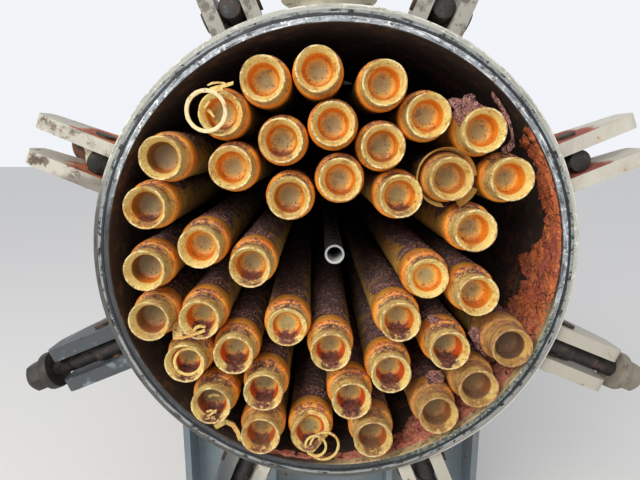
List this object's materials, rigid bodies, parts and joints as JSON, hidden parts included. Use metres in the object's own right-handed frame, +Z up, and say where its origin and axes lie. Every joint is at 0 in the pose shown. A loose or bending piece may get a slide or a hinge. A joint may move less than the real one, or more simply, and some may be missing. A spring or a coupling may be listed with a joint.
{
  "type": "horizontal cartridge gas filter vessel",
  "caption": "Horizontal gas filter vessel on two saddles, its swing-bolt closure open on leaning, fouled filter cartridges with moulded caps.",
  "frame": {"origin": "middle of the front saddle's foot, on the ground under the vessel axis", "axes": "+Y along the vessel axis, from the open end to the rear head; +Z up; +X to the right when looking into the open end"},
  "size_m": [1.5476, 2.9925, 2.113],
  "materials": {
    "ring_steel": "weathered, machined lands, off-white paint on the rim",
    "seal": "dull",
    "lug_paint": "off-white paint, rusted on the upper edges",
    "pin_steel": "dark, weathered",
    "bolt_steel": "dark, weathered",
    "nut_steel": "dark with brown rust",
    "shell_paint": "aged off-white paint; inside bare and rusted",
    "sheet_steel": "rusted steel",
    "rod_steel": "bare, bright",
    "wound_media": "wound fibre, fouled brown",
    "cap_plastic": "translucent straw and orange resin",
    "saddle_paint": "blue-grey paint"
  },
  "bodies": {
    "vessel": {"closure_ring": "ring_steel", "seal_ring": "seal", "closure_lugs": "lug_paint", "hinge_pins": "pin_steel", "front_crown": "shell_paint", "front_belly": "shell_paint", "front_sides": "shell_paint", "rear_crown": "shell_paint", "rear_belly": "shell_paint", "rear_sides": "shell_paint", "rear_head": "shell_paint", "nozzle_pipes": "shell_paint", "nozzle_flanges": "shell_paint", "nozzle_pads": "shell_paint", "drain_pipes": "shell_paint", "drain_flanges": "shell_paint", "couplings": "shell_paint", "lifting_lugs": "shell_paint", "tube_sheet": "sheet_steel", "centre_rod": "rod_steel", "outer_cartridges": "wound_media", "middle_cartridges": "wound_media", "inner_cartridges": "wound_media", "outer_caps": "cap_plastic", "middle_caps": "cap_plastic", "inner_caps": "cap_plastic", "front_saddle": "saddle_paint", "rear_saddle": "saddle_paint", "wear_plates": "saddle_paint"},
    "bolt_1": {"swing_bolt_1": "bolt_steel", "bolt_nut_1": "nut_steel"},
    "bolt_2": {"swing_bolt_2": "bolt_steel", "bolt_nut_2": "nut_steel"},
    "bolt_3": {"swing_bolt_3": "bolt_steel", "bolt_nut_3": "nut_steel"},
    "bolt_4": {"swing_bolt_4": "bolt_steel", "bolt_nut_4": "nut_steel"},
    "bolt_5": {"swing_bolt_5": "bolt_steel", "bolt_nut_5": "nut_steel"},
    "bolt_6": {"swing_bolt_6": "bolt_steel", "bolt_nut_6": "nut_steel"},
    "bolt_7": {"swing_bolt_7": "bolt_steel", "bolt_nut_7": "nut_steel"},
    "bolt_8": {"swing_bolt_8": "bolt_steel", "bolt_nut_8": "nut_steel"}
  },
  "joints": [
    {"name": "bolt_1_hinge", "type": "hinge", "parent": "vessel", "child": "bolt_1", "pos_m": [0.55067, -0.345, 1.47809], "axis": [0.3827, 0, -0.9239], "range_deg": [0, 184.69]},
    {"name": "bolt_2_hinge", "type": "hinge", "parent": "vessel", "child": "bolt_2", "pos_m": [0.22809, -0.345, 1.80067], "axis": [0.9239, 0, -0.3827], "range_deg": [0, 184.69]},
    {"name": "bolt_3_hinge", "type": "hinge", "parent": "vessel", "child": "bolt_3", "pos_m": [-0.22809, -0.345, 1.80067], "axis": [0.9239, 0, 0.3827], "range_deg": [0, 184.69]},
    {"name": "bolt_4_hinge", "type": "hinge", "parent": "vessel", "child": "bolt_4", "pos_m": [-0.55067, -0.345, 1.47809], "axis": [0.3827, 0, 0.9239], "range_deg": [-34.7, 150]},
    {"name": "bolt_5_hinge", "type": "hinge", "parent": "vessel", "child": "bolt_5", "pos_m": [-0.55067, -0.345, 1.02191], "axis": [-0.3827, 0, 0.9239], "range_deg": [-94.69, 90]},
    {"name": "bolt_6_hinge", "type": "hinge", "parent": "vessel", "child": "bolt_6", "pos_m": [-0.22809, -0.345, 0.69933], "axis": [-0.9239, 0, 0.3827], "range_deg": [-94.69, 90]},
    {"name": "bolt_7_hinge", "type": "hinge", "parent": "vessel", "child": "bolt_7", "pos_m": [0.22809, -0.345, 0.69933], "axis": [-0.9239, 0, -0.3827], "range_deg": [-94.69, 90]},
    {"name": "bolt_8_hinge", "type": "hinge", "parent": "vessel", "child": "bolt_8", "pos_m": [0.55067, -0.345, 1.02191], "axis": [-0.3827, 0, -0.9239], "range_deg": [-94.69, 90]}
  ]
}
